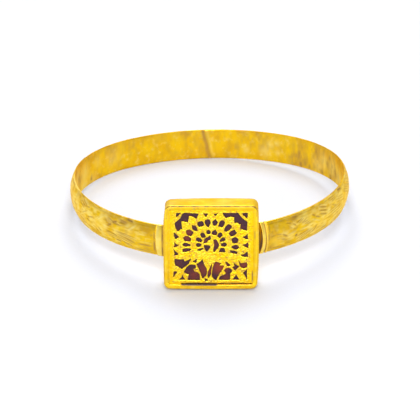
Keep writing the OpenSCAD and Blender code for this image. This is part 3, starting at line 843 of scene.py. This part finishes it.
def outlines_of_sheet():
    """The sheet's face outline and openings, as loops of (x, y), read from its CAD node."""
    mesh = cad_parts["thewa_sheet"].data
    co = np.array([v.co for v in mesh.vertices]) / MM
    y = (co[:, 1] + MIDDLE_Y) * REST_COS - (co[:, 2] - FLOOR_DROP) * REST_SIN
    z = (co[:, 1] + MIDDLE_Y) * REST_SIN + (co[:, 2] - FLOOR_DROP) * REST_COS
    local = np.stack([co[:, 0] - BOX_X, z - BOX_Z, BOX_BACK - y], -1)
    top = local[:, 2].max()
    key = {}
    index = [key.setdefault(tuple(np.round(p, 3)), len(key)) for p in local]
    places = np.array(list(key))
    uses = set()
    for poly in mesh.polygons:
        ids = [index[v] for v in poly.vertices]
        if all(places[i][2] > top - 0.01 for i in ids):
            uses.update(zip(ids, ids[1:] + ids[:1]))
    follow = {a: b for a, b in sorted(uses) if (b, a) not in uses}
    loops = []
    while follow:
        start = next(iter(follow))
        loop = [start]
        at = follow.pop(start)
        while at != start:
            loop.append(at)
            at = follow.pop(at)
        loops.append(places[loop][:, :2])
    return loops


def resample(loop, step):
    """The loop with points at most a step apart, its own corners kept."""
    made = []
    for a, b in zip(loop, np.roll(loop, -1, 0)):
        pieces = max(1, int(math.ceil(norm(b - a) / step)))
        made.extend(a + (b - a) * k / pieces for k in range(pieces))
    return np.array(made)


def edge_distance(points, loops):
    """Distance of each point from the nearest edge, and whether it is on the metal."""
    best = np.full(len(points), 9.0)
    inside = np.zeros(len(points), bool)
    for loop in loops:
        for a, b in zip(loop, np.roll(loop, -1, 0)):
            d = b - a
            t = np.clip((points - a) @ d / (d @ d), 0, 1)
            best = np.minimum(best, norm(points - a - t[:, None] * d, axis=1))
            if a[1] != b[1]:
                crosses = (a[1] > points[:, 1]) != (b[1] > points[:, 1])
                x = a[0] + (points[:, 1] - a[1]) * d[0] / d[1]
                inside ^= crosses & (points[:, 0] < x)
    return best, inside


# Lines and dots of the gold sheet, set out like the band's lines and patches; the dark lines along
# the foot near row 284 are painted shadow of the slit under the lip
SHEET_LINES = [
    (252.4, 271, 252.3, 283, 0.3, -0.08, 0.9), (182, 283.8, 217, 284, 0.5, -0.08, 1.0),
    (217, 284, 226, 283, 0.3, -0.06, 0.75), (226, 282.7, 250, 283.6, 0.3, -0.06, 0.75),
    (209.6, 278.5, 209.7, 283.5, 0.12, -0.03, 0.4), (211.6, 281, 211.4, 283.5, 0.12, -0.03, 0.4),
    (177.5, 279.6, 181.5, 279.4, 0.15, -0.04, 0.6), (241, 281.8, 250, 281.9, 0.12, -0.02, 0.35)]
SHEET_DOTS = [
    (209.6, 280.2, 0.22, -0.05, 0.8), (211.4, 280.5, 0.22, -0.05, 0.8),
    (169.3, 210.4, 0.3, -0.05, 0.55), (251.3, 240, 0.3, -0.05, 0.5),
    (253, 226.8, 0.4, -0.03, 0.35), (248.8, 273.6, 0.3, -0.04, 0.5),
    (191.2, 262, 0.25, -0.05, 0.7), (178.8, 286, 0.3, -0.03, 0.3),
    (187.3, 230.3, 0.3, -0.04, 0.4), (187.3, 257.3, 0.3, -0.04, 0.35)]


# Steps along the sheet's edges and between the points of its face, and how near an edge a
# point of the face may be
EDGE_STEP = 0.16
FACE_STEP = 0.085
EDGE_CLEAR = 0.045

# How far in the sheet's edges are rounded, and how deep; half the width of the stippled field
ROUND_R = 0.13
ROUND_DEEP = 0.1
FIELD_HALF = 8.6

# Dots down the left margin, as the column and row of the first pixel, the rows between two
# dots, and their number
MARGIN_DOTS = (169.4, 214, 1.5, 46)

# Curved lines across the peacock's body, in the box's places: the first one's height, the
# distance between two, and their number
BODY_LINES = (-1.85, 0.26, 9)


def fill_outlines(points, links, corners):
    """Triangles between the points that keep to the links and lie on the metal."""
    found, _, faces, origin, _, _ = delaunay_2d_cdt(
        [Vector(p) for p in points], links, [], 0, 1e-6)
    flat = np.array([tuple(p) for p in found])
    faces = np.array([f for f in faces if len(f) == 3])
    _, on = edge_distance(flat[faces].mean(1), corners)
    return flat, faces[on], origin


def sheet_face(corners):
    """The points and triangles of the sheet's face, fine enough for its relief."""
    loops = [resample(loop, EDGE_STEP) for loop in corners]
    edge = np.concatenate(loops)
    low, high = edge.min(0), edge.max(0)
    x, y = np.meshgrid(np.arange(low[0], high[0], FACE_STEP),
                       np.arange(low[1], high[1], FACE_STEP))
    x = x + (np.arange(x.shape[0]) % 2)[:, None] * FACE_STEP / 2
    inner = np.stack([x.ravel(), y.ravel()], -1)
    away, on = edge_distance(inner, corners)
    points = np.concatenate([edge, inner[on & (away > EDGE_CLEAR)]])
    links, start = [], 0
    for loop in loops:
        n = len(loop)
        links += [(start + k, start + (k + 1) % n) for k in range(n)]
        start += n
    flat, faces, _ = fill_outlines(points, links, corners)
    return flat, faces


def sheet_relief(flat, corners):
    """The relief of the sheet's face: lines, dots, rounded edges and stipple, with painted
    highlights on the raised stipple and along the edges.
    """
    where = np.concatenate([flat, np.full((len(flat), 1), SHEET_TOP)], -1)
    relief = Relief(flat, to_photo(in_box(where)), np.ones(len(flat), bool))
    relief.chart(SHEET_LINES, SHEET_DOTS)
    column, row, pitch, count = MARGIN_DOTS
    for k in range(count):
        relief.dot(relief.at_pixel(column, row + pitch * k), 0.22, -0.03,
                   0.25 + 0.4 * float(lattice(np.array([k, 0, 0]), 41)))
    first, pitch, count = BODY_LINES
    for k in range(count):
        v = first - pitch * k
        relief.stroke([(-1.1, v), (0.1, v - 0.05), (1.3, v)], 0.14, -0.05, 0.2)
        # Beside each dark line, a raised line with a painted highlight
        relief.stroke([(-1.1, v - 0.13), (0.1, v - 0.18), (1.3, v - 0.13)], 0.12, 0.03, -0.9)
    away, _ = edge_distance(flat, corners)
    fall = np.clip(1 - away / ROUND_R, 0, 1)
    relief.height -= ROUND_DEEP * (1 - np.sqrt(1 - fall ** 2 * 0.96))
    margin = np.max(np.abs(flat - (FIELD_X, FIELD_Y)), axis=1)
    field = np.clip((FIELD_HALF - margin) / 0.5, 0, 1)
    stipple = grain(where, 0.2, 31)
    speck = grain(where, 0.32, 34)
    relief.height += (0.015 + 0.04 * field) * stipple + 0.02 * grain(where, 0.7, 32)
    relief.tarnish_and_shade = np.maximum(relief.tarnish_and_shade, field * np.clip(speck - 0.25, 0, 1))
    # Painted highlights on the raised stipple of the field and along the rounded edges, with some
    # random paleness
    pale = np.clip(1.2 * stipple + grain(where, 1.5, 33), 0, 1)
    relief.pale_and_highlight = np.maximum(relief.pale_and_highlight, field * np.maximum(pale, 0.8 * bell(away - 0.1, 0.3)))
    return relief


def make_sheet():
    """The pierced gold sheet, its edges softened and its face stippled and lined."""
    corners = outlines_of_sheet()
    flat, face = sheet_face(corners)
    relief = sheet_relief(flat, corners)
    faces = face.tolist()
    border = {(a, b) for f in faces for a, b in zip(f, f[1:] + f[:1])}
    rim = sorted((a, b) for a, b in border if (b, a) not in border)
    used = sorted({a for a, _ in rim})
    order = {a: k for k, a in enumerate(used)}
    back = {a: len(flat) + k for a, k in order.items()}
    faces += [[b, a, back[a], back[b]] for a, b in rim]
    _, under, origin = fill_outlines(flat[used], [(order[a], order[b]) for a, b in rim], corners)
    back_of = {k: used[o[0]] for k, o in enumerate(origin) if o}
    faces += [[back[back_of[k]] for k in f[::-1]] for f in under]
    top_points = np.concatenate([flat, (SHEET_TOP + relief.height)[:, None]], -1)
    base = np.concatenate([flat, np.full((len(flat), 1), SHEET_TOP - FOIL_T)], -1)
    extra = np.zeros(len(used))
    sheet = make_mesh("peacock_sheet", in_box(np.concatenate([top_points, base[used]])), faces,
                      np.concatenate([relief.tarnish_and_shade, extra]),
                      np.concatenate([relief.pale_and_highlight, extra]))
    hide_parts("thewa_sheet")
    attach(sheet, "root")
    return sheet


class Graph:
    """The nodes of a material or of the world, with short calls to add and join them."""

    def __init__(self, owner):
        owner.use_nodes = True
        self.owner = owner
        self.nodes = owner.node_tree.nodes
        self.place = self.nodes.new("ShaderNodeTexCoord").outputs

    def fill(self, node, inputs):
        """Sets a node's inputs, each to a number, a colour or another node's socket."""
        for key, value in inputs.items():
            if isinstance(value, bpy.types.NodeSocket):
                self.owner.node_tree.links.new(value, node.inputs[key])
            else:
                node.inputs[key].default_value = value

    def add(self, kind, inputs, **values):
        """A new node with these inputs and properties."""
        node = self.nodes.new(kind)
        for key, value in values.items():
            setattr(node, key, value)
        self.fill(node, inputs)
        return node

    def calc(self, operation, *values):
        """A Math node; each value is a number or a socket."""
        node = self.add("ShaderNodeMath", dict(enumerate(values)), operation=operation)
        return node.outputs[0]

    def noise(self, lump_mm, detail=3.0):
        """Noise with lumps of about this size; the mesh is in metres."""
        node = self.add("ShaderNodeTexNoise", {
            "Vector": self.place["Object"], "Scale": 1 / (lump_mm * MM), "Detail": detail,
            "Roughness": 0.55})
        return node.outputs["Fac"]

    def ramp(self, source, low, high, out_low=0.0, out_high=1.0):
        """source from low..high to out_low..out_high, clamped."""
        node = self.add("ShaderNodeMapRange", {
            "Value": source, "From Min": low, "From Max": high, "To Min": out_low,
            "To Max": out_high})
        return node.outputs["Result"]

    def mix(self, share, first, second):
        """A colour between two others, each a colour or a socket."""
        first, second = ((*c, 1) if isinstance(c, tuple) else c for c in (first, second))
        node = self.add("ShaderNodeMix", {0: share, 6: first, 7: second}, data_type="RGBA")
        return node.outputs[2]

    def attribute(self, name):
        """A number that the mesh carries at each of its points."""
        return self.add("ShaderNodeAttribute", {}, attribute_name=name).outputs["Fac"]

    def away_from(self, point):
        """Distance in metres from a point of the object."""
        node = self.add("ShaderNodeVectorMath", {0: self.place["Object"], 1: point},
                        operation="DISTANCE")
        return node.outputs["Value"]

    def bump(self, source, depth_mm):
        """A normal roughened by the source, to this depth."""
        node = self.add("ShaderNodeBump", {"Distance": depth_mm * MM, "Height": source,
                                           "Strength": 1.0})
        return node.outputs["Normal"]

    def shade(self, inputs):
        """Fills the material's own shader and returns the material."""
        self.fill(self.nodes["Principled BSDF"], inputs)
        return self.owner


BROWN = (0.50, 0.28, 0.06)
# The darkest tone: soot in the deepest lines, and painted shade in the slit under the lip and at
# the right collar's hollow end
SOOT_AND_SHADE = (0.10, 0.065, 0.075)
EDGE_TINT = (1, 0.86, 0.5, 1)
GLASS_PLUM = (0.050, 0.015, 0.022)
GLASS_RED = (0.24, 0.036, 0.010)
FLOOR_LOW = (0.66, 0.68, 0.75)
FLOOR_HIGH = (0.69, 0.71, 0.78)

# Size of the warm patches of the gold
PATCH_MM = 3.0


def gold(name, plain, warm, pale, rough, grain_mm=0.3, depth_mm=0.02):
    """Worn yellow gold: warm patches, pale where rubbed and where highlights are painted, brown to
    black where tarnished and where shade is painted.
    """
    g = Graph(bpy.data.materials.new(name))
    colour = g.mix(g.ramp(g.noise(PATCH_MM), 0.42, 0.66), plain, warm)
    colour = g.mix(g.ramp(g.noise(PATCH_MM * 0.45), 0.55, 0.8, 0, 0.5), colour, pale)
    # Paleness from the mesh: painted highlights, with some rubbed and random paleness
    colour = g.mix(g.attribute("pale_and_highlight"), colour, pale)
    tarnish_and_shade = g.attribute("tarnish_and_shade")
    colour = g.mix(g.ramp(tarnish_and_shade, 0, 0.7), colour, BROWN)
    colour = g.mix(g.ramp(tarnish_and_shade, 0.7, 1), colour, SOOT_AND_SHADE)
    smudge = g.ramp(g.noise(PATCH_MM * 0.3), 0.3, 0.7, rough - 0.06, rough + 0.08)
    return g.shade({"Base Color": colour, "Metallic": g.ramp(tarnish_and_shade, 0.8, 1, 1, 0.15),
                    "Specular Tint": EDGE_TINT, "Roughness": smudge,
                    "Normal": g.bump(g.noise(grain_mm, 4.0), depth_mm)})


# Middles of the redder zones of the glass, from the field's middle in mm, their reach and
# how red they are
RED_ZONES = [(1.9, -4.9, 2.2, 0.85), (-1.6, -5.4, 2, 0.45), (-0.3, -5.8, 1, 0.4),
             (-3.4, -6.6, 1.6, 0.35), (7.0, -4.2, 1.5, 0.5), (3.2, -7.2, 1.2, 0.3),
             (-4.9, 3.3, 1.2, 0.5), (-5.2, 1.8, 1.2, 0.45), (-1.2, 1.2, 0.7, 0.35)]


def dark_glass():
    """Dark purple-brown glass, redder in some zones, with a polished face."""
    g = Graph(bpy.data.materials.new("dark_glass"))
    colour = g.mix(g.ramp(g.noise(2.5, 2.0), 0.5, 0.75, 0, 0.3), GLASS_PLUM, GLASS_RED)
    for u, v, reach, red in RED_ZONES:
        middle = tuple(in_box((u + FIELD_X, v + FIELD_Y, SHEET_TOP)))
        share = g.ramp(g.away_from(middle), 0.3 * reach * MM, reach * MM, red, 0)
        colour = g.mix(share, colour, GLASS_RED)
    return g.shade({"Base Color": colour, "Specular IOR Level": 0.25,
                    "Roughness": g.ramp(g.noise(0.8), 0.3, 0.7, 0.18, 0.32),
                    "Normal": g.bump(g.noise(0.7), 0.02)})


def floor_paper():
    """Pale matt paper with a barely visible grain."""
    g = Graph(bpy.data.materials.new("floor_paper"))
    return g.shade({"Base Color": g.mix(g.noise(0.6), FLOOR_LOW, FLOOR_HIGH),
                    "Roughness": 0.95, "Specular IOR Level": 0.0})


def dress(obj, material):
    """Gives an object this one material."""
    obj.data.materials.clear()
    obj.data.materials.append(material)


# Softboxes: name, place in metres, side in metres, power in watts
LIGHTS = [("front", (0.0, -0.46, 0.46), 0.24, 2.5), ("low_front", (0.0, -0.6, 0.11), 0.3, 0.7),
          ("overhead", (0, 0.30, 0.58), 0.6, 4.1)]


def make_light(name, place, side, power):
    """A square softbox aimed at the bangle."""
    data = bpy.data.lights.new(name, "AREA")
    data.size = side
    data.energy = power
    light = bpy.data.objects.new(name, data)
    bpy.context.scene.collection.objects.link(light)
    light.location = place
    light.rotation_mode = "QUATERNION"
    light.rotation_quaternion = (-Vector(place)).to_track_quat("-Z", "Y")


# Brightness of the surroundings overhead and at the horizon, and what is added towards +Y
WORLD_HIGH = 0.1
WORLD_LOW = 0.9
WORLD_BACK = 0.1


def make_world():
    """Soft white surroundings, bright low down all round and dimmer overhead."""
    g = Graph(bpy.data.worlds.new("surroundings"))
    towards = g.add("ShaderNodeSeparateXYZ", {0: g.place["Generated"]}).outputs
    flatness = g.calc("SUBTRACT", 1.0, g.calc("MULTIPLY", towards["Z"], towards["Z"]))
    low = g.calc("POWER", flatness, 1.5)
    total = g.calc("MULTIPLY_ADD", low, WORLD_LOW - WORLD_HIGH, WORLD_HIGH)
    total = g.calc("MULTIPLY_ADD", towards["Y"], WORLD_BACK, total)
    g.fill(g.nodes["Background"], {"Strength": total, "Color": (1, 1, 1, 1)})
    bpy.context.scene.world = g.owner


FLOOR_HALF = 3.0


def make_stage():
    """Pale floor, soft white surroundings and the softboxes."""
    corners = [(x * FLOOR_HALF, y * FLOOR_HALF, 0)
               for x, y in ((-1, -1), (1, -1), (1, 1), (-1, 1))]
    floor = make_mesh("floor", corners, [[0, 1, 2, 3]], smooth=False)
    floor.location.z = cad_low.z
    dress(floor, floor_paper())
    make_world()
    for light in LIGHTS:
        make_light(*light)
    bpy.context.scene.view_settings.view_transform = "Standard"


band = gold("band_gold", (0.93, 0.59, 0.010), (0.84, 0.48, 0.010), (1, 0.80, 0.22), 0.37)
soft_gold = gold("collar_gold", (0.97, 0.65, 0.03), (0.90, 0.56, 0.03), (1, 0.80, 0.20), 0.34)
box_gold = gold("setting_gold", (0.96, 0.63, 0.02), (0.91, 0.55, 0.015), (0.98, 0.78, 0.18), 0.34)
foil = gold("sheet_gold", (0.96, 0.58, 0.008), (0.92, 0.53, 0.006), (0.98, 0.73, 0.05), 0.36,
            grain_mm=0.16, depth_mm=0.03)
dress(make_hoop(), band)
dress(make_left_collar(), soft_gold)
dress(make_right_collar(), soft_gold)
dress(make_setting(), box_gold)
dress(make_sheet(), foil)
dress(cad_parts["glass_plate"], dark_glass())
make_stage()
